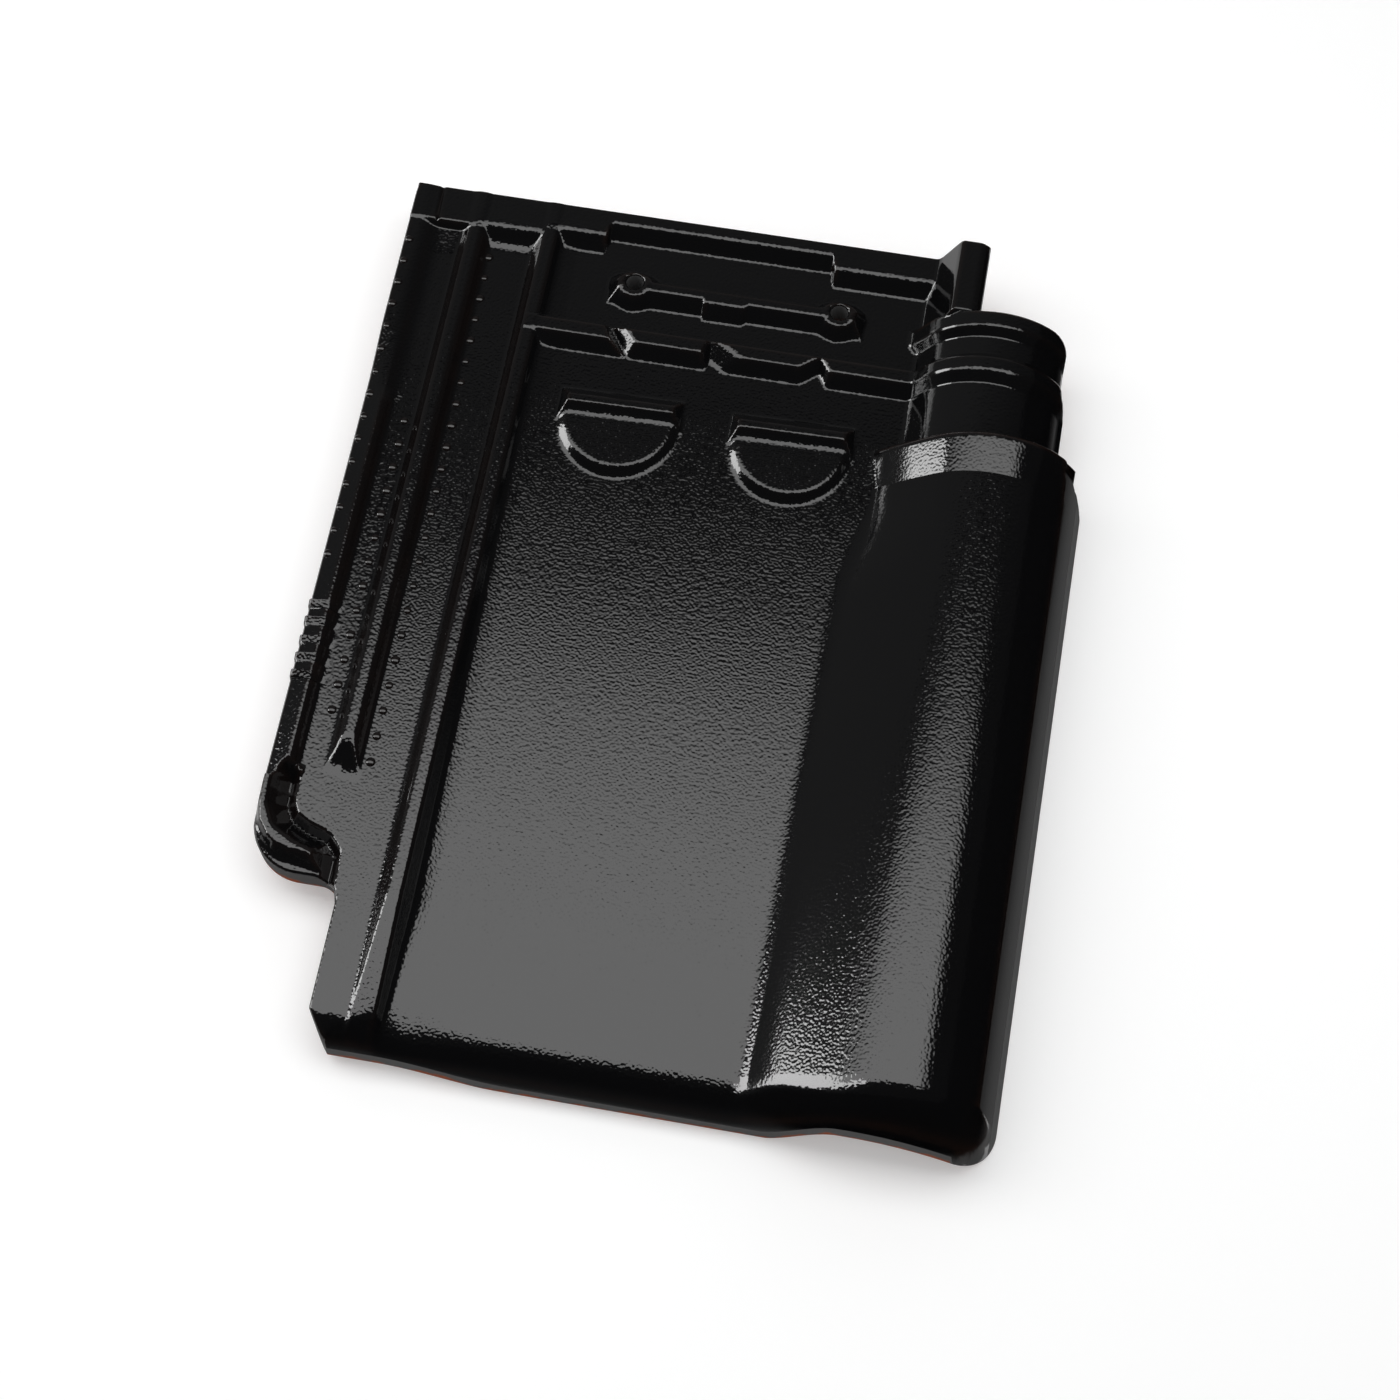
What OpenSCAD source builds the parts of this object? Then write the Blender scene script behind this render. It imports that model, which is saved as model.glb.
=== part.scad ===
// Interlocking clay roof tile with one half-round roll, lying face up on the floor.
// Millimetres. The origin is the middle of the footprint at floor level,
// +X runs to the roll, +Y to the head and +Z up.

/* [Overall] */
// Width over the side rim and the roll
tile_w = 286; // [276:1:310]
// Length from the nose to the head
tile_l = 360; // [345:1:400]
// Thickness of the fired clay
clay_t = 10; // [8:0.5:12]
// Height of the upper face of the pan over the floor, at the nose
pan_z = 18; // [16:0.5:22]
// Rise of the channel floors and the head field over the pan at the nose
step_h = 5; // [3:0.5:6]
// Height of the ribs over the channel floors
rib_h = 5; // [3:0.5:6]

/* [Side channels] */
// Width of the top of the outer rim
rim_w = 8.2; // [6:0.2:10]
// Sideways run of a sloping rib wall
rib_run = 4.4; // [3:0.2:5]
// Width of the floor of the outer channel
outer_channel_w = 8.4; // [6:0.2:10]
// Width of the top of the middle rib
mid_rib_w = 4.4; // [3:0.2:6]
// Width of the floor of the inner channel
inner_channel_w = 17; // [14:0.5:20]
// Width of the top of the inner rib
inner_rib_w = 4.9; // [3:0.1:6]
// Sideways run of the wall from the inner rib down to the pan
pan_wall_run = 6.5; // [5:0.5:8]
// Distance from the nose at which the inner rib has its full height
rib_fade_l = 58; // [40:1:70]
// Distance from the nose to the foot of the middle rib
mid_rib_foot = 112; // [100:1:130]
// Distance from the head to the closed ends of the channels
channel_end = 13; // [11:0.5:16]
// Run of the slope that closes the inner channel at the head
channel_ramp = 9; // [6:0.5:12]

/* [Roll] */
// Outer radius of the roll
roll_r = 35; // [33:0.5:38]
// Height of the axis of the roll over the floor
roll_axis_z = 15.5; // [13:0.5:17]
// Flare of the foot along the right edge
foot_flare = 3; // [1:0.5:5]
// Height of the flared foot
foot_h = 11; // [8:0.5:12]
// Widening of the roll radius at its head end
head_flare = 2; // [1:0.25:2.5]
// Length of the widened head end
head_flare_l = 17; // [10:1:24]
// Steepness of the straight left flank of the roll, in degrees
flank_angle = 35; // [33:0.5:40]
// Distance from the head to the end of the roll
roll_setback = 89; // [84:1:96]
// Outer radius of the collar that the next roll covers
collar_r = 29.5; // [27:0.5:30]
// Distance from the right edge to the right side of the collar
collar_inset = 14; // [13:0.5:17]
// Distance from the head to the end of the collar
collar_setback = 33; // [28:1:36]
// Height of the two rings over the collar
ring_h = 3; // [2:0.25:4]
// Width of the top of the ring at the end of the collar
end_ring_w = 5; // [3:0.5:6]
// Distance from the axis of the collar to the right face of the fin
fin_inset = 8; // [6:0.5:10]
// Height of the top of the fin over the floor
fin_z = 44; // [40:0.5:46]
// Sideways run of the left wall of the fin
fin_run = 10; // [8:0.5:12]
// Width of the flat top of the fin
fin_w = 12; // [9:0.5:14]

/* [Head] */
// Distance from the head to the front crest of the head field
head_field_l = 87; // [84:1:96]
// Width of the top of the cross rib at its two wide ends
cross_rib_w = 12; // [10:0.5:14]
// Width of the top of the cross rib in its set-back middle
cross_rib_mid_w = 6; // [4:0.5:8]
// Left end of the set-back middle, from the left edge
cross_mid_x0 = 82; // [78:1:86]
// Right end of the set-back middle, from the left edge
cross_mid_x1 = 172; // [166:1:176]
// Lengthways run of the front walls of the ribs on the head field
head_rib_run = 5; // [3:0.25:6]

/* [Nail bar] */
// Diameter of the nail holes
nail_hole_d = 7; // [4:0.5:8]
// Distance between the two nail holes
nail_pitch = 83; // [70:1:90]
// Distance from the left edge to the first nail hole
nail_x = 96; // [92:1:100]
// Distance from the head to the line of the nail holes
nail_setback = 32; // [30:0.5:34]
// Radius of the top of the boss round a nail hole
boss_top_r = 6.5; // [5:0.25:7]
// Radius of the foot of the boss round a nail hole
boss_foot_r = 11; // [9:0.5:12]
// Width of the top of the bar between the bosses
bar_w = 4; // [3:0.5:5]
// Length of the wider middle of the bar
bar_mid_l = 17; // [12:1:30]
// Extra width of the wider middle of the bar
bar_mid_extra = 1.7; // [1:0.1:2]

/* [Weather bar] */
// Distance from the head to the back of the weather bar
bar_setback = 54; // [52:0.5:56]
// Width of the top of the weather bar
weather_w = 5.7; // [4:0.1:6]
// Right end of the first length at its back, from the left edge
dash1_end = 89.5; // [87:0.5:91]
// Left end of the second length at its back
dash2_start = 96.5; // [95:0.5:98]
// Slant of the gap between the first two lengths
dash_slant = 7; // [3:0.5:8]
// Right end of the second length
dash2_end = 130; // [126:0.5:131]
// Left end of the third length
dash3_start = 137; // [136:0.5:140]
// Right end of the third length at its back
dash3_end = 173; // [168:0.5:174]
// Left end of the fourth length
dash4_start = 177; // [176:0.5:182]

/* [Half-moon pads] */
// Radius of the flat top of a pad
pad_r = 21; // [16:0.5:22]
// Sideways run of the sloping wall of a pad
pad_run = 4; // [3:0.5:5]
// Rise of a pad over the head field
pad_rise = 2.3; // [1.5:0.1:2.7]
// Distance between the two pads
pad_pitch = 68.2; // [60:0.2:72]
// Distance from the left edge to the middle of the first pad
pad_x = 101; // [97:0.5:104]
// Distance from the crest of the head field to the straight back edge of a pad
pad_back = 6.3; // [5:0.1:8]
// Turn of a pad, in degrees
pad_turn = 1.5; // [0:0.25:3]
// Width of the top of the bar behind a pad
pad_bar_w = 3; // [2:0.25:4]
// Distance from the back edge of a pad to the top of its bar
pad_bar_lead = 3.7; // [3:0.1:4.5]
// Run of the front wall of the bar behind a pad
pad_bar_run = 7; // [5:0.25:8]
// Run of the back wall and the ends of the bar behind a pad
pad_bar_back = 4.5; // [3:0.25:5]

/* [Nose] */
// Length over which the nose rounds off
nose_run = 16; // [13:1:20]
// Height of the front edge over the floor at the left nose corner
plate_edge_z = 13.5; // [11:0.5:18]
// Height of the front edge over the floor along the pan
pan_edge_z = 8.5; // [7:0.5:14]
// Distance from the left edge at which the front edge is down to the pan
edge_fall_x = 115; // [90:1:160]
// Drop of the rounded nose along the roll
roll_drop = 20.5; // [16:0.5:23]
// Thickness of the lip that hangs from the nose
lip_t = 10; // [8:0.5:12]
// Radius of the right nose corner
nose_corner_r = 12; // [8:0.5:14]
// Sideways cut at the left nose corner
nose_cut_x = 8; // [5:0.5:10]
// Lengthways cut at the left nose corner
nose_cut_y = 13; // [8:0.5:16]

/* [Corner notch] */
// Width of the notch in the left nose corner
notch_w = 37; // [35:0.5:40]
// Length of the notch in the left nose corner
notch_l = 61; // [54:1:68]
// Radius of the inner corner of the notch
notch_r = 8; // [5:0.5:10]
// Radius of the rounded rim corner beside the notch
rim_corner_r = 20; // [14:1:22]
// Width of the rim that runs along the notch
notch_rim_w = 9; // [7:0.5:10]
// Distance from the left edge to the end of the rim along the notch
notch_rim_end = 29; // [27:0.5:31]

/* [Nibs] */
// Width of a hanging nib
nib_w = 32; // [24:1:36]
// Length of a hanging nib
nib_l = 13; // [10:0.5:16]
// Distance from the head to the back of the nibs
nib_setback = 9; // [7:0.5:10]

/* [Hidden] */
$fn = 96;
lap = 1;
far = 90;
floor_z = pan_z + step_h;
rib_z = floor_z + rib_h;
under_pan_z = pan_z - clay_t;
under_floor_z = floor_z - clay_t;
outer_channel_x = rim_w + rib_run;
mid_rib_x = outer_channel_x + outer_channel_w + rib_run;
inner_channel_x = mid_rib_x + mid_rib_w + rib_run;
inner_rib_x = inner_channel_x + inner_channel_w + rib_run;
rib_end_x = inner_rib_x + inner_rib_w;
pan_x = rib_end_x + pan_wall_run;
roll_x = tile_w - foot_flare - roll_r;
roll_end_y = tile_l - roll_setback;
flank_x = roll_x - roll_r * sin(flank_angle);
flank_z = roll_axis_z + roll_r * cos(flank_angle);
flank_foot_x = flank_x - (flank_z - pan_z) / tan(flank_angle);
collar_x = tile_w - collar_inset - collar_r;
collar_end_y = tile_l - collar_setback;
fin_x = collar_x - fin_inset;
crest_y = tile_l - head_field_l;
nail_y = tile_l - nail_setback;
nail_lead = 1;
bar_back_y = nail_y + nail_lead;
weather_back_y = tile_l - bar_setback;
weather_front_y = weather_back_y - weather_w;
pad_y = crest_y - pad_back;
pad_z = floor_z + pad_rise;
nib_y = tile_l - nib_setback - nib_l;
nose_steps = 6;
nose_roll_shift = 12;
slice = 0.1;

// Draws a flat section lengthways, from y0 to y1
module along_y(y0, y1) {
    translate([0, y1, 0])
        rotate([90, 0, 0])
            linear_extrude(y1 - y0)
                children();
}

// Draws a flat section sideways, from x0 to x1
module along_x(x0, x1) {
    translate([x0, 0, 0])
        rotate([90, 0, 90])
            linear_extrude(x1 - x0)
                children();
}

// A lengthways cylinder round the line at x and z
module rod(x, z, r, y0, y1) {
    translate([x, y0, z])
        rotate([-90, 0, 0])
            cylinder(h = y1 - y0, r = r);
}

// Side channels and pan, solid down to the floor
module deck_section() {
    polygon([
        [0, 0],
        [0, rib_z],
        [rim_w, rib_z],
        [outer_channel_x, floor_z],
        [inner_rib_x - rib_run, floor_z],
        [inner_rib_x, rib_z],
        [rib_end_x, rib_z],
        [pan_x, pan_z],
        [roll_x, pan_z],
        [roll_x, 0]
    ]);
}

// Cross-section of a rib with two sloping walls
module rib_section(x0, x1, run_left, run_right) {
    polygon([
        [x0 - run_left, floor_z],
        [x0 - run_left, floor_z - lap],
        [x1 + run_right, floor_z - lap],
        [x1 + run_right, floor_z],
        [x1, rib_z],
        [x0, rib_z]
    ]);
}

// Straight left flank of the roll, from the pan up to the round
module flank_section() {
    polygon([
        [flank_foot_x - lap / tan(flank_angle), pan_z - lap],
        [flank_x, flank_z],
        [roll_x, flank_z],
        [roll_x, pan_z - lap]
    ]);
}

// Half-round solid on a straight foot, from y0 to y1
module half_round(x, r, y0, y1) {
    intersection() {
        rod(x, roll_axis_z, r, y0, y1);
        translate([x - r - lap, y0 - lap, roll_axis_z - lap])
            cube([2 * (r + lap), y1 - y0 + 2 * lap, r + 2 * lap]);
    }
    translate([x - r, y0, 0])
        cube([2 * r, y1 - y0, roll_axis_z]);
}

// Widened head end of the roll
module roll_head() {
    intersection() {
        translate([roll_x, roll_end_y - head_flare_l, roll_axis_z])
            rotate([-90, 0, 0])
                cylinder(h = head_flare_l, r1 = roll_r, r2 = roll_r + head_flare);
        translate([roll_x - roll_r, roll_end_y - head_flare_l - lap, roll_axis_z - lap])
            cube([2 * roll_r + foot_flare, head_flare_l + 2 * lap, far]);
    }
}

// Flared foot along the right edge
module foot_section() {
    polygon([
        [roll_x, 0],
        [tile_w, 0],
        [tile_w - foot_flare, foot_h],
        [tile_w - foot_flare, roll_axis_z],
        [roll_x, roll_axis_z]
    ]);
}

// Rounded end of the roll
module nose_cap() {
    hull() {
        for (i = [0 : nose_steps]) {
            a = 90 * i / nose_steps;
            shrink = 1 - cos(a);
            translate([roll_x - nose_roll_shift * shrink, nose_run * (1 - sin(a)), 0])
                cap_disc(roll_r, roll_drop * shrink);
        }
        translate([roll_x - roll_r, 0, 0])
            cube([2 * roll_r, nose_run, lap]);
        translate([flank_foot_x, nose_run - lap, pan_z - lap])
            cube([lap, lap, lap]);
    }
}

// Hollow of the roll that narrows to its mouth at the nose
module mouth_hollow() {
    hull() {
        translate([roll_x, nose_run, 0])
            cap_disc(roll_r - clay_t, 0);
        translate([roll_x - nose_roll_shift, -lap, 0])
            cap_disc(roll_r - clay_t, roll_drop);
        translate([roll_x - roll_r + clay_t, -lap, -lap])
            cube([2 * (roll_r - clay_t), nose_run, lap]);
    }
}

// Upright disc round the axis of the roll, flattened by a drop of its top
module cap_disc(r, drop) {
    translate([0, 0, roll_axis_z])
        rotate([-90, 0, 0])
            scale([1, (r - drop) / r, 1])
                cylinder(h = lap / 2, r = r, $fn = 40);
}

// Rounded nose of one section between two places
module nose_length(x0, x1, face_z, edge_z) {
    along_x(x0, x1)
        polygon(concat(
            [[nose_run + lap, 0], [0, 0]],
            [
                for (i = [0 : nose_steps])
                    let (a = 90 * i / nose_steps)
                        [nose_run * (1 - cos(a)), edge_z + (face_z - edge_z) * sin(a)]
            ],
            [[nose_run + lap, face_z]]
        ));
}

// Rounded nose that changes its section, each place given as x, height of face and of edge
module nose_change(from, to) {
    hull() {
        nose_length(from[0] - slice, from[0], from[1], from[2]);
        nose_length(to[0] - slice, to[0], to[1], to[2]);
    }
}

// Rounded nose from the notch to the roll
module nose() {
    fall = (plate_edge_z - pan_edge_z) / (edge_fall_x - notch_w);
    notch = [notch_w, floor_z, plate_edge_z];
    rib = [rib_end_x, floor_z, plate_edge_z - fall * (rib_end_x - notch_w)];
    pan = [pan_x, pan_z, plate_edge_z - fall * (pan_x - notch_w)];
    low = [edge_fall_x, pan_z, pan_edge_z];
    nose_change(notch, rib);
    nose_change(rib, pan);
    nose_change(pan, low);
    nose_length(edge_fall_x - slice, roll_x, pan_z, pan_edge_z);
}

// Channels and pan behind the nose, the inner rib running out towards it
module deck() {
    difference() {
        along_y(nose_run, tile_l)
            deck_section();
        along_x(inner_rib_x - rib_run, pan_x)
            polygon([
                [nose_run - lap, floor_z],
                [nose_run, floor_z],
                [rib_fade_l, rib_z],
                [nose_run - lap, far]
            ]);
    }
}

// Outer shape before it is hollowed from below
module upper_solid() {
    nose();
    deck();
    along_y(mid_rib_foot, tile_l)
        rib_section(mid_rib_x, mid_rib_x + mid_rib_w, rib_run, rib_run);
    half_round(roll_x, roll_r, nose_run, roll_end_y);
    roll_head();
    along_y(0, roll_end_y)
        foot_section();
    intersection() {
        nose_cap();
        cube([2 * tile_w, nose_run + lap, far]);
    }
    along_y(nose_run, roll_end_y)
        flank_section();
    half_round(collar_x, collar_r, crest_y - 2 * lap, tile_l);
    head_field();
    channel_ends();
    notch_rim();
    for (i = [0, 1])
        translate([pad_x + i * pad_pitch, pad_y, 0])
            rotate([0, 0, pad_turn])
                pad();
}

// Half-moon pad with a bar behind it, its middle at the origin
module pad() {
    pad_h = pad_z - pan_z;
    intersection() {
        translate([0, 0, pan_z])
            cylinder(h = pad_h, r1 = pad_r + pad_h * pad_run / pad_rise, r2 = pad_r);
        translate([-far, -far, 0])
            cube([2 * far, far + lap, far]);
    }
    grow = (rib_h + lap) / rib_h;
    ends = pad_r + grow * pad_bar_back;
    front = pad_bar_lead - grow * pad_bar_run;
    back = pad_bar_lead + pad_bar_w + grow * pad_bar_back;
    intersection() {
        along_x(-ends, ends)
            polygon([
                [front, floor_z - lap],
                [pad_bar_lead, rib_z],
                [pad_bar_lead + pad_bar_w, rib_z],
                [back, floor_z - lap]
            ]);
        along_y(front, back)
            polygon([[-ends, floor_z - lap], [-pad_r, rib_z], [pad_r, rib_z], [ends, floor_z - lap]]);
    }
}

// Face that climbs to the head, with its ribs, nail bar and rings
module head_field() {
    along_x(rib_end_x, collar_x)
        polygon([
            [nose_run, pan_z - lap],
            [nose_run, pan_z],
            [crest_y, floor_z],
            [tile_l, floor_z],
            [tile_l, pan_z - lap]
        ]);
    cross_rib(inner_rib_x, cross_mid_x0, cross_rib_w);
    cross_rib(cross_mid_x0 - lap, cross_mid_x1 + lap, cross_rib_mid_w);
    cross_rib(cross_mid_x1, collar_x, cross_rib_w);
    nail_bar();
    dash(inner_rib_x, inner_rib_x, dash1_end, dash1_end + dash_slant);
    dash(dash2_start, dash2_start + dash_slant, dash2_end, dash2_end);
    dash(dash3_start, dash3_start, dash3_end, dash3_end - dash_slant);
    dash(dash4_start, dash4_start, collar_x, collar_x);
    fin();
    half_round(collar_x, collar_r + ring_h, weather_front_y, weather_back_y);
    half_round(collar_x, collar_r + ring_h, collar_end_y - end_ring_w, collar_end_y);
}

// Length of the rib along the head edge
module cross_rib(x0, x1, w) {
    along_x(x0, x1)
        polygon([
            [tile_l - w - head_rib_run, floor_z - lap],
            [tile_l - w - head_rib_run, floor_z],
            [tile_l - w, rib_z],
            [tile_l, rib_z],
            [tile_l, floor_z - lap]
        ]);
}

// Bar with a boss round each nail hole
module nail_bar() {
    bar_length(nail_x, nail_x + nail_pitch, bar_w);
    bar_mid = nail_x + nail_pitch / 2;
    bar_length(bar_mid - bar_mid_l / 2, bar_mid + bar_mid_l / 2, bar_w + bar_mid_extra);
    for (i = [0, 1])
        translate([nail_x + i * nail_pitch, nail_y, floor_z - lap])
            cylinder(
                h = rib_h + lap,
                r1 = boss_foot_r + lap * (boss_foot_r - boss_top_r) / rib_h,
                r2 = boss_top_r
            );
}

// Part of the nail bar with a sloping front wall
module bar_length(x0, x1, w) {
    along_x(x0, x1)
        polygon([
            [bar_back_y - w - head_rib_run, floor_z - lap],
            [bar_back_y - w - head_rib_run, floor_z],
            [bar_back_y - w, rib_z],
            [bar_back_y, rib_z],
            [bar_back_y + lap, floor_z - lap]
        ]);
}

// Length of the weather bar, its ends given at the back and at the front foot
module dash(back_x0, foot_x0, back_x1, foot_x1) {
    foot_y = weather_front_y - head_rib_run;
    intersection() {
        along_x(back_x0 - dash_slant, back_x1 + 2 * dash_slant)
            polygon([
                [foot_y, floor_z - lap],
                [foot_y, floor_z],
                [weather_front_y, rib_z],
                [weather_back_y, rib_z],
                [weather_back_y + lap, floor_z - lap]
            ]);
        linear_extrude(far)
            polygon([
                [foot_x0, foot_y - lap],
                [foot_x1, foot_y - lap],
                [back_x1, weather_back_y + 2 * lap],
                [back_x0, weather_back_y + 2 * lap]
            ]);
    }
}

// Upright fin at the right end of the head
module fin() {
    along_y(collar_end_y - lap, tile_l)
        polygon([
            [fin_x - fin_w - fin_run, floor_z - lap],
            [fin_x - fin_w - fin_run, floor_z],
            [fin_x - fin_w, fin_z],
            [fin_x + lap, fin_z],
            [fin_x + lap, floor_z - lap]
        ]);
}

// Closed ends of the two side channels at the head
module channel_ends() {
    end_y = tile_l - channel_end;
    along_x(rim_w - lap, inner_rib_x + lap)
        polygon([
            [end_y - channel_ramp, floor_z - lap],
            [end_y - channel_ramp, floor_z],
            [end_y, rib_z],
            [tile_l, rib_z],
            [tile_l, floor_z - lap]
        ]);
}

// Rim that turns the corner and runs along the notch
module notch_rim() {
    along_x(0, notch_rim_end)
        polygon([
            [notch_l, floor_z - lap],
            [notch_l, rib_z],
            [notch_l + notch_rim_w, rib_z],
            [notch_l + notch_rim_w + rib_run, floor_z],
            [notch_l + notch_rim_w + rib_run, floor_z - lap]
        ]);
}

// Square corner less a quarter round, middle of the round at x and y
module corner_waste(x, y, r, sx, sy) {
    translate([x, y, -lap])
        difference() {
            translate([sx > 0 ? 0 : -r - lap, sy > 0 ? 0 : -r - lap, 0])
                cube([r + lap, r + lap, far]);
            translate([0, 0, -lap])
                cylinder(h = far + 2 * lap, r = r);
        }
}

// Everything outside the plan of the tile
module plan_waste() {
    translate([fin_x, collar_end_y, -lap])
        cube([tile_w, tile_l, far]);
    translate([collar_x + collar_r, roll_end_y, -lap])
        cube([tile_w, tile_l, far]);
    translate([-lap, -lap, -lap])
        cube([notch_w - notch_r + lap, notch_l + lap, far]);
    translate([-lap, -lap, -lap])
        cube([notch_w + lap, notch_l - notch_r + lap, far]);
    translate([notch_w - notch_r, notch_l - notch_r, -lap])
        cylinder(h = far, r = notch_r);
    corner_waste(rim_corner_r, notch_l + rim_corner_r, rim_corner_r, -1, -1);
    corner_waste(tile_w - nose_corner_r, nose_corner_r, nose_corner_r, 1, -1);
    translate([notch_w, 0, -lap])
        linear_extrude(far)
            polygon([[-lap, -lap], [nose_cut_x, -lap], [nose_cut_x, 0], [0, nose_cut_y], [-lap, nose_cut_y]]);
}

// Hollows under the side channels, the pan, the head, the roll and the collar
module under_waste() {
    translate([-lap, lip_t, -lap])
        cube([inner_rib_x + lap, tile_l, under_floor_z + lap]);
    translate([-lap, -lap, -lap])
        cube([inner_rib_x + lap, lip_t + 2 * lap, step_h + lap]);
    along_x(inner_rib_x - lap, collar_x)
        polygon([
            [lip_t, -lap],
            [lip_t, under_pan_z],
            [crest_y, under_floor_z],
            [tile_l + lap, under_floor_z],
            [tile_l + lap, -lap]
        ]);
    hollow_r = roll_r - clay_t;
    rod(roll_x, roll_axis_z, hollow_r, nose_run - lap, roll_end_y - clay_t);
    translate([roll_x - hollow_r, nose_run - lap, -lap])
        cube([2 * hollow_r, roll_end_y - clay_t - nose_run + lap, roll_axis_z + lap]);
    mouth_hollow();
    collar_hollow_r = collar_r - clay_t;
    rod(collar_x, roll_axis_z, collar_hollow_r, roll_end_y - clay_t - lap, tile_l + lap);
    translate([collar_x - collar_hollow_r, roll_end_y - clay_t - lap, -lap])
        cube([2 * collar_hollow_r, tile_l, roll_axis_z + lap]);
}

// Fired clay tile in one piece
module roof_tile() {
    color("#26262a")
        translate([-tile_w / 2, -tile_l / 2, 0])
            difference() {
                union() {
                    difference() {
                        upper_solid();
                        under_waste();
                    }
                    nibs();
                }
                plan_waste();
                for (i = [0, 1])
                    translate([nail_x + i * nail_pitch, nail_y, 0])
                        cylinder(h = far, d = nail_hole_d);
            }
}

// Two nibs that hang behind the batten
module nibs() {
    for (i = [0, 1])
        translate([nail_x + i * nail_pitch - nib_w / 2, nib_y, 0])
            cube([nib_w, nib_l, under_floor_z + lap]);
}

roof_tile();
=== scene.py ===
# %% [markdown]
# # Clay roof tile
#
# An interlocking roof tile: pressed from clay, glazed black from above and fired once.
# It has a flat pan, a half-round roll on the right, two side channels on the left and
# a head field full of low ribs. Nearly all of it is seen from above, and no part of the
# upper face overhangs, so this lesson writes that face as one height for every point
# of the plan. Sizes are in millimetres, X from the rim, Y from the nose, Z from the floor.

import bpy
import numpy as np
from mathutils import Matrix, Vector
from mathutils.geometry import delaunay_2d_cdt


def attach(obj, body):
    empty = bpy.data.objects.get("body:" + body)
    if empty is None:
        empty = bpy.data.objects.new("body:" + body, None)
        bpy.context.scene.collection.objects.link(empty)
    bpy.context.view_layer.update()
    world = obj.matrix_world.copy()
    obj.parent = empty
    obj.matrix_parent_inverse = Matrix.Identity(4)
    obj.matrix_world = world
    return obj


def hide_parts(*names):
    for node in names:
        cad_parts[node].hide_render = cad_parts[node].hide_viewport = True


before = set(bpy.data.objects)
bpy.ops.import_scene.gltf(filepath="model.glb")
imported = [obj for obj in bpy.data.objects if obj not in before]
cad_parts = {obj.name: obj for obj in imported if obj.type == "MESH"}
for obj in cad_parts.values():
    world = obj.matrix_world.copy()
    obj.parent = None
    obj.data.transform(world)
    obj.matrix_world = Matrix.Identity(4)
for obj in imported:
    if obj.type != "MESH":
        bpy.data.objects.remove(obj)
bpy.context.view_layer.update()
print("frame nodes:", sorted(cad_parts))

# %% [markdown]
# ## Heights and soft corners
#
# Wet clay leaves its mould with every corner a little round, and the glaze rounds them
# more. A bevel modifier would struggle with so many crossing ribs. Instead each rib is
# a plain slope, and two slopes are joined with a soft minimum or maximum, which rounds
# the corner between them by a chosen number of millimetres.

# %% Main sizes and the soft blends
WIDTH, LENGTH = 286.0, 360.0
PAN_Z, FLOOR_Z, RIB_Z = 18.0, 23.0, 28.0
RIB_H = RIB_Z - FLOOR_Z
NOWHERE = -60.0


def soft_min(a, b, rounding):
    """The lower of two heights, the corner between them rounded over this many mm."""
    h = np.clip(0.5 + 0.5 * (b - a) / rounding, 0, 1)
    return b + (a - b) * h - rounding * h * (1 - h)


def soft_max(a, b, rounding):
    """The higher of two heights, with a round hollow between them."""
    return -soft_min(-a, -b, rounding)


def rise(start, end, value):
    """0 before start, 1 after end and an S-curve between them."""
    t = np.clip((value - start) / (end - start), 0, 1)
    return t * t * (3 - 2 * t)


def to_metres(points):
    """Points in mm from the rim and the nose, in the metres of the shared frame."""
    return (points - np.array([WIDTH / 2, LENGTH / 2, 0])) * 0.001


def show(name, mesh):
    """A new object for a mesh or a camera, linked into the scene."""
    thing = bpy.data.objects.new(name, mesh)
    bpy.context.scene.collection.objects.link(thing)
    return thing


print("tile", WIDTH, "x", LENGTH, "mm, pan at", PAN_Z, "ribs at", RIB_Z)

# %% [markdown]
# ## The outline
#
# Seen from above, the tile is a rectangle with a notch at its lower left corner and two
# steps at its upper right corner, where the neighbours lap over it. A distance function
# says how far a point is from the nearest edge, so it gives the outline, the round
# edges and the two nail holes all at once.

# %% Plan outline as a distance
NOSE_CORNER_R = 15.0
NOTCH_W, NOTCH_L, NOTCH_R = 36.5, 61.0, 8.0
RIM_CORNER_R = 20.0
NOSE_CUT_X, NOSE_CUT_Y = 8.0, 13.0
NOSE_SETBACK = 1.7
ROLL_END_Y, ROLL_END_R, COLLAR_END_Y = 271.0, 6.0, 327.0
COLLAR_X, COLLAR_R, RING_H = 242.5, 29.5, 3.0
COLLAR_SIDE_X, COLLAR_SIDE_OUT = 270.3, 2.7
FIN_RIGHT_X = 234.5
NAIL_X, NAIL_Y, NAIL_R = (96.0, 179.0), 328.0, 3.5


def ring_height(y):
    """The two rings round the collar: how far they stand proud along its length."""
    lower = np.minimum((y - 295.5) / 4.8, (308.5 - y) / 3.0)
    upper = (y - 316.0) / 4.0
    return RING_H * soft_min(np.clip(np.maximum(lower, upper), 0, 1.2), 1.0 + 0 * y, 0.2)


def nose_distance(x, y):
    """Distance in mm from the nose, which is set back a little on its left."""
    return y - NOSE_SETBACK * rise(108, 62, x)


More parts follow.
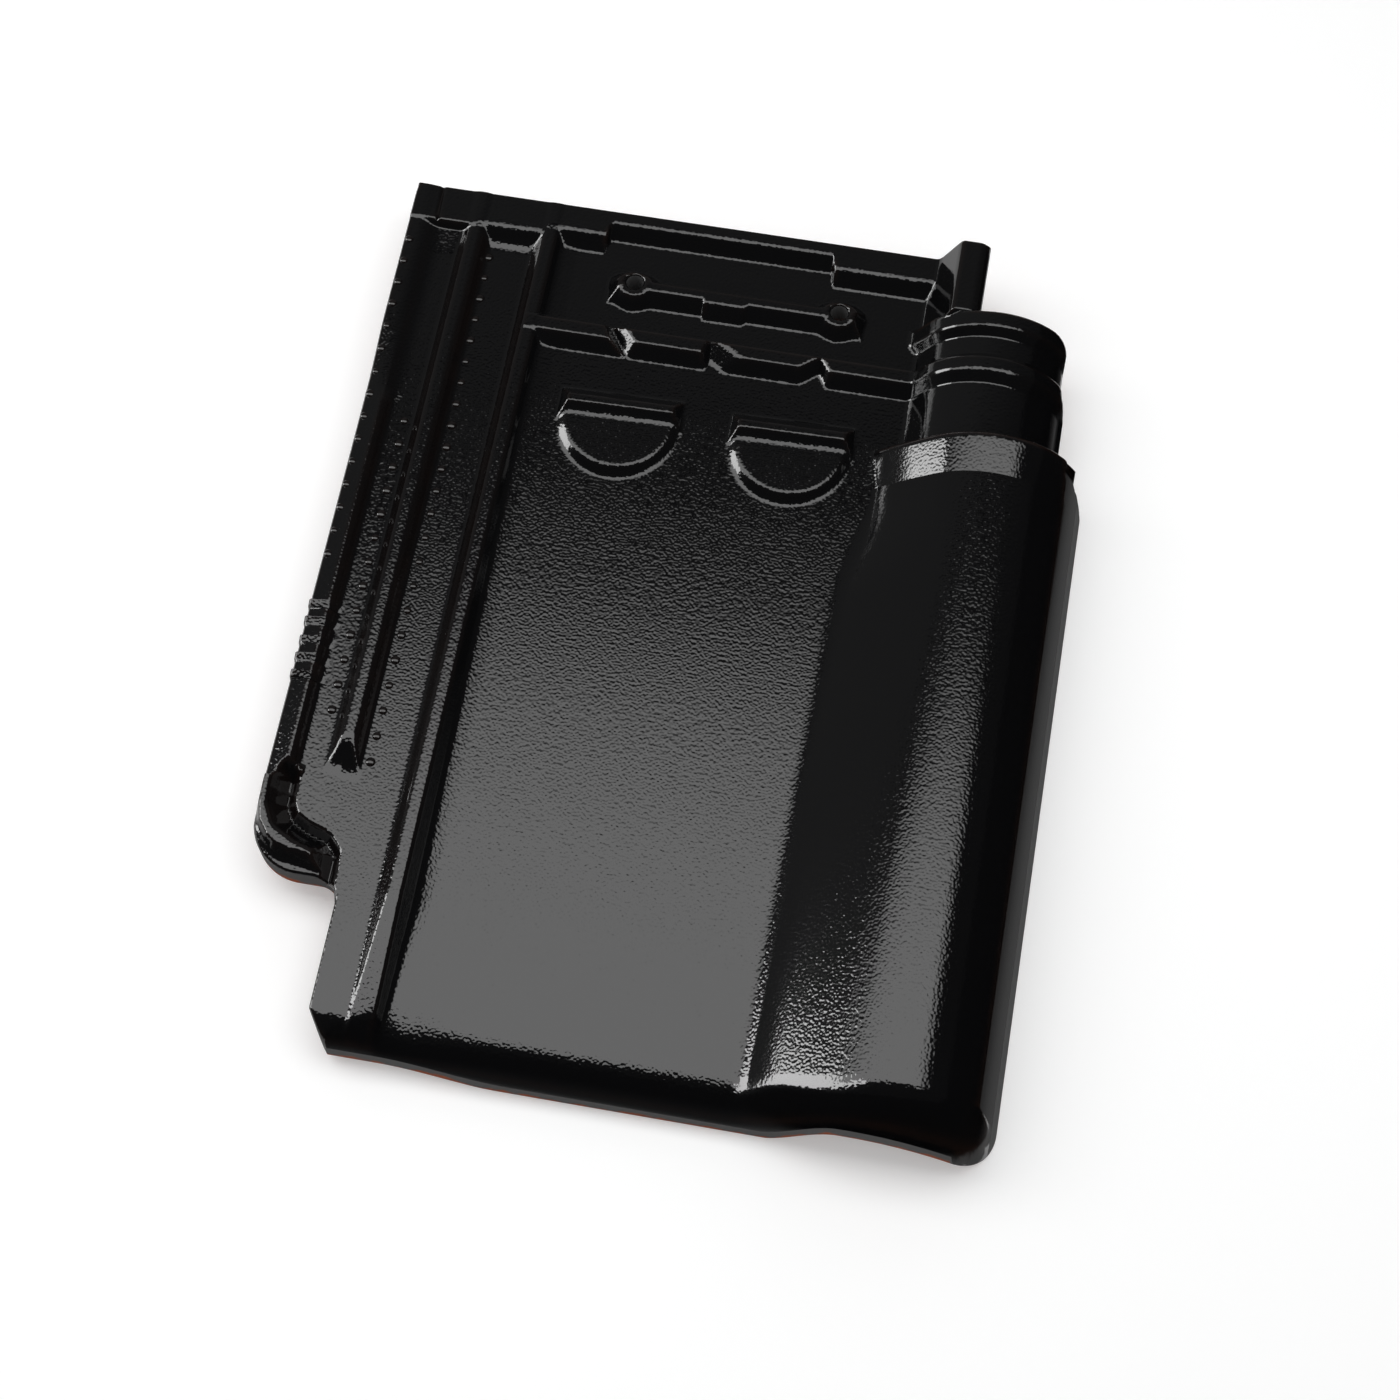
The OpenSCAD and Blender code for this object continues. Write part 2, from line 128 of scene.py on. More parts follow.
def inside(x, y):
    """Distance in mm to the nearest edge of the plan, positive on the clay."""
    d = np.minimum(np.minimum(x, WIDTH - x), np.minimum(nose_distance(x, y), LENGTH - y))
    nose_x = WIDTH - NOSE_CORNER_R
    round_nose = NOSE_CORNER_R - np.hypot(x - nose_x, y - NOSE_CORNER_R)
    d = np.where((x > nose_x) & (y < NOSE_CORNER_R), round_nose, d)
    notch = np.maximum(x - NOTCH_W, y - NOTCH_L)
    notch_x, notch_y = NOTCH_W - NOTCH_R, NOTCH_L - NOTCH_R
    round_notch = np.hypot(x - notch_x, y - notch_y) - NOTCH_R
    notch = np.where((x > notch_x) & (y > notch_y), round_notch, notch)
    d = np.minimum(d, notch)
    rim_y = NOTCH_L + RIM_CORNER_R
    round_rim = RIM_CORNER_R - np.hypot(x - RIM_CORNER_R, y - rim_y)
    d = np.where((x < RIM_CORNER_R) & (y < rim_y), round_rim, d)
    cut = (x - NOTCH_W) * NOSE_CUT_Y + (y - NOSE_CUT_Y) * NOSE_CUT_X
    d = np.minimum(d, cut / np.hypot(NOSE_CUT_X, NOSE_CUT_Y))
    d = np.minimum(d, np.maximum(FIN_RIGHT_X - x, COLLAR_END_Y - y))
    collar_side = COLLAR_SIDE_X + COLLAR_SIDE_OUT * rise(306, 296, y)
    d = np.minimum(d, np.maximum(collar_side - x, ROLL_END_Y - y))
    for right_x, back_y in ((WIDTH, ROLL_END_Y), (COLLAR_SIDE_X, COLLAR_END_Y)):
        end_x, end_y = right_x - ROLL_END_R, back_y - ROLL_END_R
        round_end = ROLL_END_R - np.hypot(x - end_x, y - end_y)
        at_end = (x > end_x) & (y > end_y) & (y < back_y + ROLL_END_R)
        d = np.where(at_end, np.minimum(d, round_end), d)
    for nail_x in NAIL_X:
        d = np.minimum(d, np.hypot(x - nail_x, y - NAIL_Y) - NAIL_R)
    return d


middle_gap = float(inside(np.array(WIDTH / 2), np.array(150.0)))
print("clay at the pan's middle:", middle_gap, "mm from an edge")

# %% [markdown]
# ## Side channels
#
# The rim, the middle rib and the inner rib catch the edge of the neighbouring tile and
# lead the rain down between them. The rim turns the lower corner and stops short of the
# plate, and a small groove drains the outer channel there. Each rib is the lower of its
# top and its two slopes.

# %% Rim, ribs and channels
RIM_W, RIB_RUN = 8.2, 4.4
TOOTH_Y, TOOTH_PATH = 96.0, ((3.6, 96.2), (11.4, 100.2))
HEAD_SEAM = ((11.5, 338.0), (10.5, 362.0))
GROOVE_DEPTH = 4.0
GROOVE_PATH = ((9.6, 97.0), (9.7, 92.0), (10.3, 87.1), (13.2, 81.6), (19.8, 78.1), (27.9, 75.6),
               (31.4, 71.6), (31.9, 64.4), (31.9, 57.0))
RIM_PATH = ((4.0, 130.0), (4.0, 94.0), (4.4, 86.0), (6.0, 79.8), (9.4, 75.2), (13.0, 72.4),
            (17.0, 70.5), (26.5, 68.8))
RIM_TILT, RIM_TILT_X = 0.42, 7.6
LEDGE_Z, LEDGE_END_X = 21.5, 31.0
MIDDLE_RIB_X, MIDDLE_RIB_END_Y = (21.0, 34.2), 103.0
CHANNEL_SPLIT_X = 27.5
STEP_Y0, STEP_PITCH, STEP_L, STEP_DROP, STEP_COUNT = 135.7, 7.55, 3.2, 0.9, 5


def path_distance(x, y, path):
    """Distance in mm to a line of points."""
    nearest = np.full(np.shape(x), 1e3)
    for (ax, ay), (bx, by) in zip(path, path[1:]):
        dx, dy = bx - ax, by - ay
        t = np.clip(((x - ax) * dx + (y - ay) * dy) / (dx * dx + dy * dy), 0, 1)
        nearest = np.minimum(nearest, np.hypot(x - ax - t * dx, y - ay - t * dy))
    return nearest


def rim_height(x, y):
    """The raised rim along the left edge, round the corner and along the notch."""
    head = rise(257, 265, y)
    wall = RIB_Z - (x - RIM_W + 2.0 * head) * RIB_H / (RIB_RUN + 3.2 * head)
    rim = soft_min(RIB_Z + 0 * x, wall, 1.6)
    tilt = RIM_TILT * np.maximum(RIM_TILT_X - x, 0) * rise(300, 262, y)
    for k in range(STEP_COUNT):
        along = (y - STEP_Y0 - k * STEP_PITCH) / STEP_L
        tilt = np.where((along > 0) & (along < 1), STEP_DROP * (1 - along), tilt)
    rim = rim - tilt
    away = path_distance(x, y, RIM_PATH) - 3.3 + 1.5 * rise(8, 20, x)
    outward = rise(-2.0, 2.0, (70.5 - y) + 0.9 * (9.0 - x) * (x < 9.0))
    corner = soft_min(RIB_Z + 0 * x, RIB_Z - away * (2.6 - 1.3 * outward), 1.6)
    ledge = soft_min(LEDGE_Z + 0 * x, LEDGE_Z + (LEDGE_END_X - x) * 1.5, 1.0)
    corner = soft_max(corner, np.where(y < 72, ledge, NOWHERE), 1.2)
    tooth = RIB_Z + 0.2 - np.maximum(path_distance(x, y, TOOTH_PATH) - 0.5, 0) * 2.4
    return soft_max(np.where(y < TOOTH_Y, corner, rim), tooth, 0.6)


def side_channels(x, y):
    """Everything left of the pan: rim, outer channel, middle rib and inner channel."""
    slope = RIB_H / RIB_RUN
    z = soft_max(FLOOR_Z + 0 * x, rim_height(x, y), 1.4)
    rib_left, rib_right = MIDDLE_RIB_X
    rib = soft_min(FLOOR_Z + (x - rib_left) * slope, FLOOR_Z + (rib_right - x) * slope, 1.6)
    rib = soft_min(rib, RIB_Z + 0 * x, 1.6)
    rib = soft_min(rib, FLOOR_Z + (y - MIDDLE_RIB_END_Y) * 0.42, 1.2)
    z = soft_max(z, rib, 1.4)
    ramp = np.clip((y - 330) * 0.14, 0, 1.8)
    outer_end = FLOOR_Z + ramp + np.maximum(y - 341.5, 0) * 1.5
    inner_end = FLOOR_Z + (y - 338.5) * 0.78
    end = np.where(x < CHANNEL_SPLIT_X, outer_end, inner_end)
    z = soft_max(z, soft_min(end, RIB_Z + 0 * x, 1.4), 2.4)
    seam = RIB_Z - 1.0 + path_distance(x, y, HEAD_SEAM)
    z = soft_min(z, seam, 0.6)
    groove = FLOOR_Z - GROOVE_DEPTH + path_distance(x, y, GROOVE_PATH) * 1.3
    return soft_min(z, groove, 1.2)


print("rim top", RIM_W, "mm wide,", STEP_COUNT, "cross steps on it")

# %% [markdown]
# ## Pan, head field and half-moon pads
#
# The pan carries the water. It climbs gently from the nose to the head field, which the
# next tile covers. Two half-moon pads sit on the line where the climb ends. Each is
# a low disc, cut off straight, with a bar behind the cut.

# %% Pan, pads and inner rib
PAN_START_Y, CREST_Y = 16.0, 273.0
INNER_RIB_LEFT_X, INNER_RIB_RIGHT_X, INNER_RIB_LOW = 51.2, 60.3, 0.4
PAD_AT, PAD_R, PAD_Z = ((101.0, 266.7), (169.2, 266.5)), 21.0, 25.3
PAD_TURN = np.radians(1.5)


def pan_height(y):
    """The pan rises gently from behind the nose to the head field."""
    along = np.clip((y - PAN_START_Y) / (CREST_Y - PAN_START_Y), 0, 1)
    return PAN_Z + (FLOOR_Z - PAN_Z) * along


def pad_height(u, v):
    """One half-moon pad: a low disc cut straight, with a bar behind the cut."""
    disc = soft_min(PAD_Z + 0 * u, PAD_Z - (np.hypot(u, v) - PAD_R) * 0.75, 0.8)
    disc = soft_min(disc, PAD_Z - (v - 5) * 2, 0.8)
    bar = soft_min(RIB_Z - (4 - v) * 0.9, RIB_Z - (v - 7), 0.8)
    ends = RIB_Z - (np.abs(u) - PAD_R) * 1.4
    bar = soft_min(bar, soft_min(ends, RIB_Z + 0 * u, 0.6), 0.6)
    return soft_max(disc, bar, 2.0)


def pan_and_head(x, y):
    """The pan, the head field and the two pads on the line between them."""
    z = pan_height(y) + 0 * x
    turn_x, turn_y = np.cos(PAD_TURN), np.sin(PAD_TURN)
    for pad_x, pad_y in PAD_AT:
        u = (x - pad_x) * turn_x + (y - pad_y) * turn_y
        v = (y - pad_y) * turn_x - (x - pad_x) * turn_y
        z = soft_max(z, pad_height(u, v), 0.9)
    return z


def inner_rib(x, y):
    """The rib between the channels and the pan, which runs out towards the nose."""
    grown = np.clip((y - 8.0) / 50.0, 0, 1)
    top = FLOOR_Z + INNER_RIB_LOW + (RIB_H - INNER_RIB_LOW) * grown
    left = FLOOR_Z + (x - INNER_RIB_LEFT_X) * RIB_H / RIB_RUN
    right = top - (x - INNER_RIB_RIGHT_X) * 1.3
    return soft_min(soft_min(left, top, 1.3), right, 1.6)


print(len(PAD_AT), "pads of radius", PAD_R, "mm")

# %% [markdown]
# ## Head ribs
#
# A stepped cross rib closes the head, a nail bar joins the two nail bosses, and a row
# of short weather bars with slanted ends stops wind-blown rain. A bar is the lowest of
# its top, back, front and two end slopes, so one function makes all four.

# %% Cross rib, nail bar and weather bars
# Each bar: left end at the back, its slant and slope, then the same for the right end.
WEATHER_BARS = (
    (40.0, 0.0, 1.0, 87.5, -0.66, 1.5),
    (97.0, 0.85, 0.71, 129.5, 0.32, 1.22),
    (135.4, 1.54, 0.34, 174.0, 1.23, 0.67),
    (175.7, 0.72, 1.05, 260.0, 0.0, 1.0),
)
BAR_BACK_Y, BAR_FRONT_Y, BAR_RUN = 306.0, 300.3, 5.0


def weather_bars(x, y):
    """The broken row of bars across the head field."""
    z = np.full(np.shape(x), NOWHERE)
    ahead = BAR_BACK_Y - y
    face = RIB_Z - (BAR_FRONT_Y - y) * RIB_H / BAR_RUN
    back = RIB_Z + ahead * 2.2
    for left_x, left_slant, left_k, right_x, right_slant, right_k in WEATHER_BARS:
        left = RIB_Z + (x - left_x - left_slant * ahead) * left_k
        right = RIB_Z - (x - right_x + right_slant * ahead) * right_k
        bar = soft_min(soft_min(left, right, 1.0), soft_min(face, back, 0.8), 0.9)
        z = np.maximum(z, soft_min(bar, RIB_Z + 0 * x, 0.9))
    return z


def cross_rib(x, y):
    """The rib that closes the head, set back between the two nail holes."""
    middle = rise(80.0, 82.4, x) * rise(174.4, 172.0, x)
    top_y = 348.0 + 6.0 * middle
    run = 6.2 - 0.5 * middle
    return soft_min(RIB_Z + 0 * x, RIB_Z - (top_y - y) * RIB_H / run, 1.2)


def nail_bar(x, y):
    """The bar between the nail bosses, a little wider in its middle."""
    wide = rise(124.0, 125.6, x) * rise(143.0, 140.5, x)
    face = RIB_Z - (324.9 - 1.6 * wide - y) * RIB_H / 5.6
    back = RIB_Z + (328.7 - y) * 1.8
    ends = RIB_Z + (np.minimum(x - NAIL_X[0], NAIL_X[1] - x) + 6) * 1.2
    z = soft_min(soft_min(face, back, 0.9), soft_min(ends, RIB_Z + 0 * x, 0.9), 0.9)
    for nail_x in NAIL_X:
        r = np.hypot(x - nail_x, (y - NAIL_Y) * (1 + 0.6 * (y > NAIL_Y)))
        boss = RIB_Z - (r - 6.5) * RIB_H / 4.5
        z = soft_max(z, soft_min(boss, RIB_Z + 0 * x, 0.9), 1.0)
    return z


print(len(WEATHER_BARS), "weather bars and", len(NAIL_X), "nail bosses")

# %% [markdown]
# ## Roll, collar and fin
#
# The roll is round on top and opens a little at its upper end, so that the next one
# slides under it. Its left side runs down to the pan with a slight bow, flatter near the
# nose.
# The narrower collar with two rings is the part that goes under the next roll, and it
# is built in the same way. A small upright fin stands at the head beside it.

# %% Roll, collar and fin
ROLL_X, ROLL_R, ROLL_AXIS_Z = 248.0, 34.8, 15.5
WAIST, FLARE, FLARE_L = 0.5, 2.75, 16.5
FLANK_NOSE, FLANK_MID, FLANK_HEAD, COLLAR_FLANK = 27.0, 28.0, 37.5, 57.0
FLANK_MID_Y, FLANK_HEAD_Y, FLANK_BOW = 205.0, 248.0, 0.005
END_ROUND = 2.6
FIN_LEFT_X, FIN_TOP_Z = 212.5, 44.0


def hog(x, axis_x, radius, flank, bow):
    """A round back whose left side goes on at a flank angle in degrees and bows down."""
    angle = np.radians(flank)
    beyond = np.maximum(axis_x - radius * np.sin(angle) - x, 0)
    straight = (radius + np.sin(angle) * (x - axis_x)) / np.cos(angle)
    side = ROLL_AXIS_Z + straight - bow * beyond ** 2
    crown = ROLL_AXIS_Z + np.sqrt(np.maximum(radius ** 2 - (x - axis_x) ** 2, 0))
    return np.where(beyond > 0, side, crown)


def rounded_end(y, end_y, size):
    """How far a face drops at a rounded end, and then all the way down."""
    t = np.clip((y - end_y + size) / size, 0, 1)
    return np.where(y > end_y, -NOWHERE * 2, size * (1 - np.sqrt(1 - t * t)))


def roll_height(x, y):
    """The half-round roll with its flared upper end."""
    radius = ROLL_R - WAIST * rise(100, ROLL_END_Y - FLARE_L, y)
    radius = radius + FLARE * np.clip((y - ROLL_END_Y + FLARE_L) / FLARE_L, 0, 1)
    flank = FLANK_NOSE + (FLANK_MID - FLANK_NOSE) * y / FLANK_MID_Y
    flank = flank + (FLANK_HEAD - flank) * rise(FLANK_MID_Y, FLANK_HEAD_Y, y)
    return hog(x, ROLL_X, radius, flank, FLANK_BOW) - rounded_end(y, ROLL_END_Y, END_ROUND)


def collar_and_fin(x, y):
    """The collar with its two rings, and the fin that stands at the head."""
    z = hog(x, COLLAR_X, COLLAR_R + ring_height(y), COLLAR_FLANK, 0.0)
    z = np.where(y < ROLL_END_Y - 3, NOWHERE, z - rounded_end(y, COLLAR_END_Y, 1.5))
    fin = soft_min(FIN_TOP_Z + 0 * x, FLOOR_Z + (x - FIN_LEFT_X) * 2.0, 2.0)
    fin = soft_min(fin, FIN_TOP_Z - (x - 231.0) * 0.7, 0.8)
    fin = soft_min(fin, FIN_TOP_Z + (y - COLLAR_END_Y) * 2.5, 2.0)
    return soft_max(z, np.where(y > 315, fin, NOWHERE), 1.5)


print("roll radius", ROLL_R, "collar radius", COLLAR_R)

# %% [markdown]
# ## Nose, lip and the whole upper face
#
# At the nose the face rolls over into a lip. A quarter ellipse carries it down to the
# front edge, which follows the section in a flatter form and lies low along the pan. The
# right side ends in a steep narrow band that runs down to the floor.

# %% The whole upper face
NOSE_RUN, LIP_T = 16.0, 9.0
EDGE_ROUND = 1.3
FOOT_BAND_W, FOOT_BAND_H = 3.0, 11.0
CHANNELS_END_X, LIP_ZONE = 56.0, 4.0


def front_edge(x):
    """Height of the front edge of the lip across the tile."""
    arch = 22.2 * rise(201, 230, x) - 0.0083 * np.maximum(x - 233, 0) ** 2
    return 8.1 + 5.0 * rise(114, 62, x) + arch


def lip_distance(x, y):
    """Distances from the nose and the right side, and the side's share of the corner."""
    corner_x = WIDTH - NOSE_CORNER_R
    right, front = np.maximum(x - corner_x, 0), np.maximum(NOSE_CORNER_R - y, 0)
    round_part = NOSE_CORNER_R - np.hypot(right, front)
    at_corner = (right > 0) & (front > 0)
    from_nose = np.where(at_corner, round_part, nose_distance(x, y))
    from_side = np.where(at_corner, round_part, np.where(y < ROLL_END_Y, WIDTH - x, 1e3))
    side_share = np.where(at_corner, np.arctan2(right, front) / (np.pi / 2), 1.0)
    return from_nose, from_side, side_share


def upper_height(x, y):
    """Height of the glazed upper face over the floor, in mm."""
    left = side_channels(x, y)
    right = pan_and_head(x, y)
    right = soft_max(right, np.where(y > CREST_Y, weather_bars(x, y), NOWHERE), 0.9)
    right = soft_max(right, np.where(y > 300, nail_bar(x, y), NOWHERE), 0.9)
    right = soft_max(right, np.where(y > 300, cross_rib(x, y), NOWHERE), 0.9)
    z = np.where(x < CHANNELS_END_X, left, right)
    rib_foot = 1.5 + 7.0 * rise(60, 70, x)
    z = soft_max(z, np.where(x < 100, inner_rib(x, y), NOWHERE), rib_foot)
    z = soft_max(z, np.where(x > 190, collar_and_fin(x, y), NOWHERE), 2.5)
    roll_foot = 1.2 + 2.3 * rise(250, 230, y)
    z = soft_max(z, np.where(x > 170, roll_height(x, y), NOWHERE), roll_foot)
    from_nose, from_side, side_share = lip_distance(x, y)
    run = NOSE_RUN - 4.0 * rise(62, 54, x) + 3.0 * rise(58, 66, x) * rise(100, 75, x)
    over = np.clip((run - from_nose) / run, 0, 1)
    front = front_edge(x)
    z = front + (z - front) * np.sqrt(1 - over ** 2)
    band_w = FOOT_BAND_W * np.maximum(side_share, 0.02)
    band = np.maximum(from_side, 0) * FOOT_BAND_H / band_w
    low = np.maximum(front - LIP_T, 0) * rise(1.0, 0.6, side_share)
    z = soft_min(z, low + 0.6 + band, 0.6)
    edge = np.clip(EDGE_ROUND - inside(x, y), 0, EDGE_ROUND)
    at_nose = (from_nose < LIP_ZONE) & (x > NOTCH_W + NOSE_CUT_X)
    on_lip = (from_side < LIP_ZONE) | at_nose
    head_round = np.where(y > LENGTH - LIP_ZONE, 1.5, 1.0)
    drop = head_round * (EDGE_ROUND - np.sqrt(EDGE_ROUND ** 2 - edge ** 2))
    return z - np.where(on_lip, 0, drop)


crest = float(upper_height(np.array(ROLL_X), np.array(150.0)))
print("roll crest at", round(crest, 1), "mm")

# %% [markdown]
# ## The underside
#
# Below, the tile is a plain shell: the pan and the channels keep the thickness of the
# clay, the roll is hollow, the lip and the right foot reach the floor, and two nibs hang
# on the roof batten. It is seldom seen, so it needs only a coarse net of points.

# %% Heights of the underside
HOLLOW_R, COLLAR_HOLLOW_R = 25.0, 19.5
NIB_W, NIB_Y0, NIB_Y1 = 32.0, 338.0, 351.0
EDGE_CLEAR, MIN_WALL = 1.6, 0.4
UNDER_Z, LIP_BACK_Y, STEP_HALF = 13.0, 10.0, 0.4


def step_up(at, value):
    """A steep step up at one place: 0 before it and 1 after it."""
    return rise(at - STEP_HALF, at + STEP_HALF, value)


def under_height(x, y):
    """Height of the bare underside over the floor, in mm."""
    z = UNDER_Z - (FLOOR_Z - pan_height(y)) * rise(62, 65, x)
    roll = ROLL_AXIS_Z + np.sqrt(np.maximum(HOLLOW_R ** 2 - (x - ROLL_X) ** 2, 0))
    collar = ROLL_AXIS_Z + np.sqrt(np.maximum(COLLAR_HOLLOW_R ** 2 - (x - COLLAR_X) ** 2, 0))
    shell = np.where(y < ROLL_END_Y, roll, collar)
    shell_right = np.where(y < ROLL_END_Y, ROLL_X + HOLLOW_R, COLLAR_X + COLLAR_HOLLOW_R)
    z = z + (shell - z) * step_up(ROLL_X - HOLLOW_R, x)
    z = z * step_up(-shell_right, -x)
    lip = np.maximum(front_edge(x) - LIP_T, 0)
    z = lip + (z - lip) * step_up(LIP_BACK_Y, y)
    for nail_x in NAIL_X:
        across = step_up(-NIB_W / 2, -np.abs(x - nail_x))
        along = step_up(NIB_Y0, y) * step_up(-NIB_Y1, -y)
        z = z * (1 - across * along)
    return z


print("hollow of the roll:", HOLLOW_R, "mm radius")

# %% [markdown]
# ## One closed mesh
#
# The upper face is a net of lines, close together where there are ribs and far apart on
# the plain pan. Cells outside the outline are dropped and the last row of points slides
# onto it. The same loops of edge points then bound the underside, which a Delaunay
# triangulation fills, and a wall joins the two faces.

# %% Net of the upper face
def net_lines(spans, extra):
    """Sorted line places: each span is (start, end, step), extra lines are added."""
    parts = [np.linspace(a, b, int(round((b - a) / s)) + 1) for a, b, s in spans]
    lines = np.unique(np.round(np.concatenate(parts + [np.array(extra)]), 3))
    return lines[np.concatenate(([True], np.diff(lines) > 0.09))]


NET_X = net_lines([(0, 66, 0.75), (66, 206, 1.3), (206, 278, 1.1), (278, 286, 0.5)],
                  [NOTCH_W, FIN_RIGHT_X, 283.0])
NET_Y = net_lines([(0, 18, 0.9), (18, 58, 5), (58, 100, 0.9), (100, 134, 1.7), (134, 170, 0.8),
                   (170, 240, 7), (240, 360, 0.9)],
                  [0.1, 0.3, 0.6, NOTCH_L, TOOTH_Y - 0.1, TOOTH_Y + 0.1]
                  + [ROLL_END_Y + step for step in (-1.2, -0.6, -0.25, 0, 0.1)]
                  + [COLLAR_END_Y, COLLAR_END_Y + 0.1])
grid_x, grid_y = np.meshgrid(NET_X, NET_Y, indexing="ij")
mid_x = (grid_x[:-1, :-1] + grid_x[1:, 1:]) / 2
mid_y = (grid_y[:-1, :-1] + grid_y[1:, 1:]) / 2
kept = np.argwhere(inside(mid_x, mid_y) > 0)
corner = kept[:, 0] * len(NET_Y) + kept[:, 1]
quads = np.stack([corner, corner + len(NET_Y), corner + len(NET_Y) + 1, corner + 1], axis=1)
used, quads = np.unique(quads, return_inverse=True)
quads = quads.reshape(-1, 4)
plan = np.stack([grid_x.ravel()[used], grid_y.ravel()[used]], axis=1)
print("upper net:", len(plan), "points,", len(quads), "cells")

# %% Edge loops, slid onto the outline
def slope_of(height, x, y, h=0.02):
    """Slope of a height function along X and along Y."""
    along_x = (height(x + h, y) - height(x - h, y)) / (2 * h)
    along_y = (height(x, y + h) - height(x, y - h)) / (2 * h)
    return along_x, along_y


edges = np.concatenate([quads[:, [k, (k + 1) % 4]] for k in range(4)])
edge_keys = set(map(tuple, edges.tolist()))
follows = {a: b for a, b in edge_keys if (b, a) not in edge_keys}
loops, left_over = [], dict(follows)
while left_over:
    start, after = next(iter(left_over.items()))
    loop = [start]
    del left_over[start]
    while after != start:
        loop.append(after)
        after = left_over.pop(after)
    loops.append(loop)
rim_points = np.array([p for loop in loops for p in loop])
for _ in range(4):
    px, py = plan[rim_points].T
    gap = inside(px, py)
    gx, gy = slope_of(inside, px, py)
    size = np.maximum(gx * gx + gy * gy, 0.25)
    plan[rim_points] -= np.stack([gap * gx / size, gap * gy / size], axis=1)
print("edge loops:", [len(loop) for loop in loops])

# %% Underside between the same loops
def step_sides(places):
    """Lines just before and just after each steep step."""
    return [place + side for place in places for side in (-STEP_HALF, STEP_HALF)]


steps_x = [nail_x + side * NIB_W / 2 for nail_x in NAIL_X for side in (-1, 1)]
steps_x += [ROLL_X - HOLLOW_R, COLLAR_X + COLLAR_HOLLOW_R, ROLL_X + HOLLOW_R]
under_x = net_lines([(3, 283, 8), (225, 271, 2)], [62, 63.5, 65] + step_sides(steps_x))
under_y = net_lines([(3, 357, 9)], [258, 260, 262, 264, 266, 270.7, 271.3]
                    + step_sides([LIP_BACK_Y, NIB_Y0, NIB_Y1]))
ux, uy = [a.ravel() for a in np.meshgrid(under_x, under_y)]
clear = inside(ux, uy) > EDGE_CLEAR
under_plan = np.concatenate([plan[rim_points], np.stack([ux[clear], uy[clear]], axis=1)])
loop_starts = np.cumsum([0] + [len(loop) for loop in loops])
loop_edges = [(s + k, s + (k + 1) % len(loop))
              for s, loop in zip(loop_starts, loops) for k in range(len(loop))]
found = delaunay_2d_cdt([Vector(p) for p in under_plan], loop_edges, [], 1, 1e-7)
first_of = [origin[0] for origin in found[3]]
under_tris = np.array([[first_of[v] for v in face] for face in found[2]])
# A triangle with all its corners on a nail hole's rim lies in the hole.
corners = under_plan[under_tris]
corner_r = np.min([np.hypot(corners[..., 0] - nail_x, corners[..., 1] - NAIL_Y)
                   for nail_x in NAIL_X], axis=0)
in_hole = np.all(corner_r < NAIL_R + 0.05, axis=1)
under_tris = under_tris[~in_hole]
print("underside:", len(under_tris), "triangles")

# %% Points and faces together
upper_z = upper_height(plan[:, 0], plan[:, 1])
under_z = under_height(under_plan[:, 0], under_plan[:, 1])
rim_count = len(rim_points)
under_z[:rim_count] = np.minimum(under_z[:rim_count], upper_z[rim_points] - MIN_WALL)
points = np.concatenate([np.column_stack([plan, upper_z]),
                         np.column_stack([under_plan, under_z])])
base = len(plan)
walls = np.array([(base + a, base + b, rim_points[b], rim_points[a]) for a, b in loop_edges])
faces = quads.tolist() + walls.tolist() + (under_tris[:, ::-1] + base).tolist()
tile_mesh = bpy.data.meshes.new("tile_shell")
tile_mesh.from_pydata(to_metres(points).tolist(), [], faces)
tile = show("tile_shell", tile_mesh)
print("tile mesh:", len(points), "points,", len(faces), "faces")

# %% [markdown]
# ## Normals from the slopes
#
# A gloss shows every facet of a net as a kink in the reflection. The slope of the height
# function is known exactly, so each face corner gets its true normal, taken a little
# inside its own face. Creases then stay sharp and curves stay smooth.

# %% True normals at the face corners
INWARD = 0.2


def pulled_in(places):
    """Corner places of each face, moved a little towards its middle."""
    return places + INWARD * (places.mean(axis=1, keepdims=True) - places)


def corner_normals(corners, height, sign):
    """Unit normals at the corners of faces, from the slope of a height function."""
    sx, sy = slope_of(height, pulled_in(corners[..., 0]), pulled_in(corners[..., 1]))
    n = np.stack([-sx, -sy, np.ones_like(sx)], axis=-1) * sign
    return n / np.linalg.norm(n, axis=-1, keepdims=True)


wall_corners = pulled_in(points[walls])
wgx, wgy = slope_of(inside, wall_corners[..., 0], wall_corners[..., 1])
wall_normals = -np.stack([wgx, wgy, 0 * wgx], axis=-1)
wall_normals /= np.maximum(np.linalg.norm(wall_normals, axis=-1, keepdims=True), 1e-6)
normals = np.concatenate([
    corner_normals(points[quads], upper_height, 1.0).reshape(-1, 3),
    wall_normals.reshape(-1, 3),
    corner_normals(under_plan[under_tris[:, ::-1]], under_height, -1.0).reshape(-1, 3)])
tile_mesh.shade_smooth()
tile_mesh.normals_split_custom_set(normals.tolist())
print("corner normals:", len(normals))

# %% [markdown]
# ## Where the glaze is thin
#
# Melting glaze pulls back from sharp edges and settles in hollows, so brown clay shows
# through along the ribs. The tile was glazed from above, so its outer walls and the steep
# band on the right took little glaze and stayed matte; their grey colour is painted sheen,
# standing in for the pale floor mirrored there. The underside is bare. These facts are
# stored on the points and faces for the material to read.

# %% Glaze cover and thin glaze
REACH, RIM_COVER = 1.6, 0.65


def store(mesh, name, domain, values):
    """Writes one number for each point or face, for the material to read."""
    layer = mesh.attributes.new(name, "FLOAT", domain)
    layer.data.foreach_set("value", np.asarray(values, np.float32))


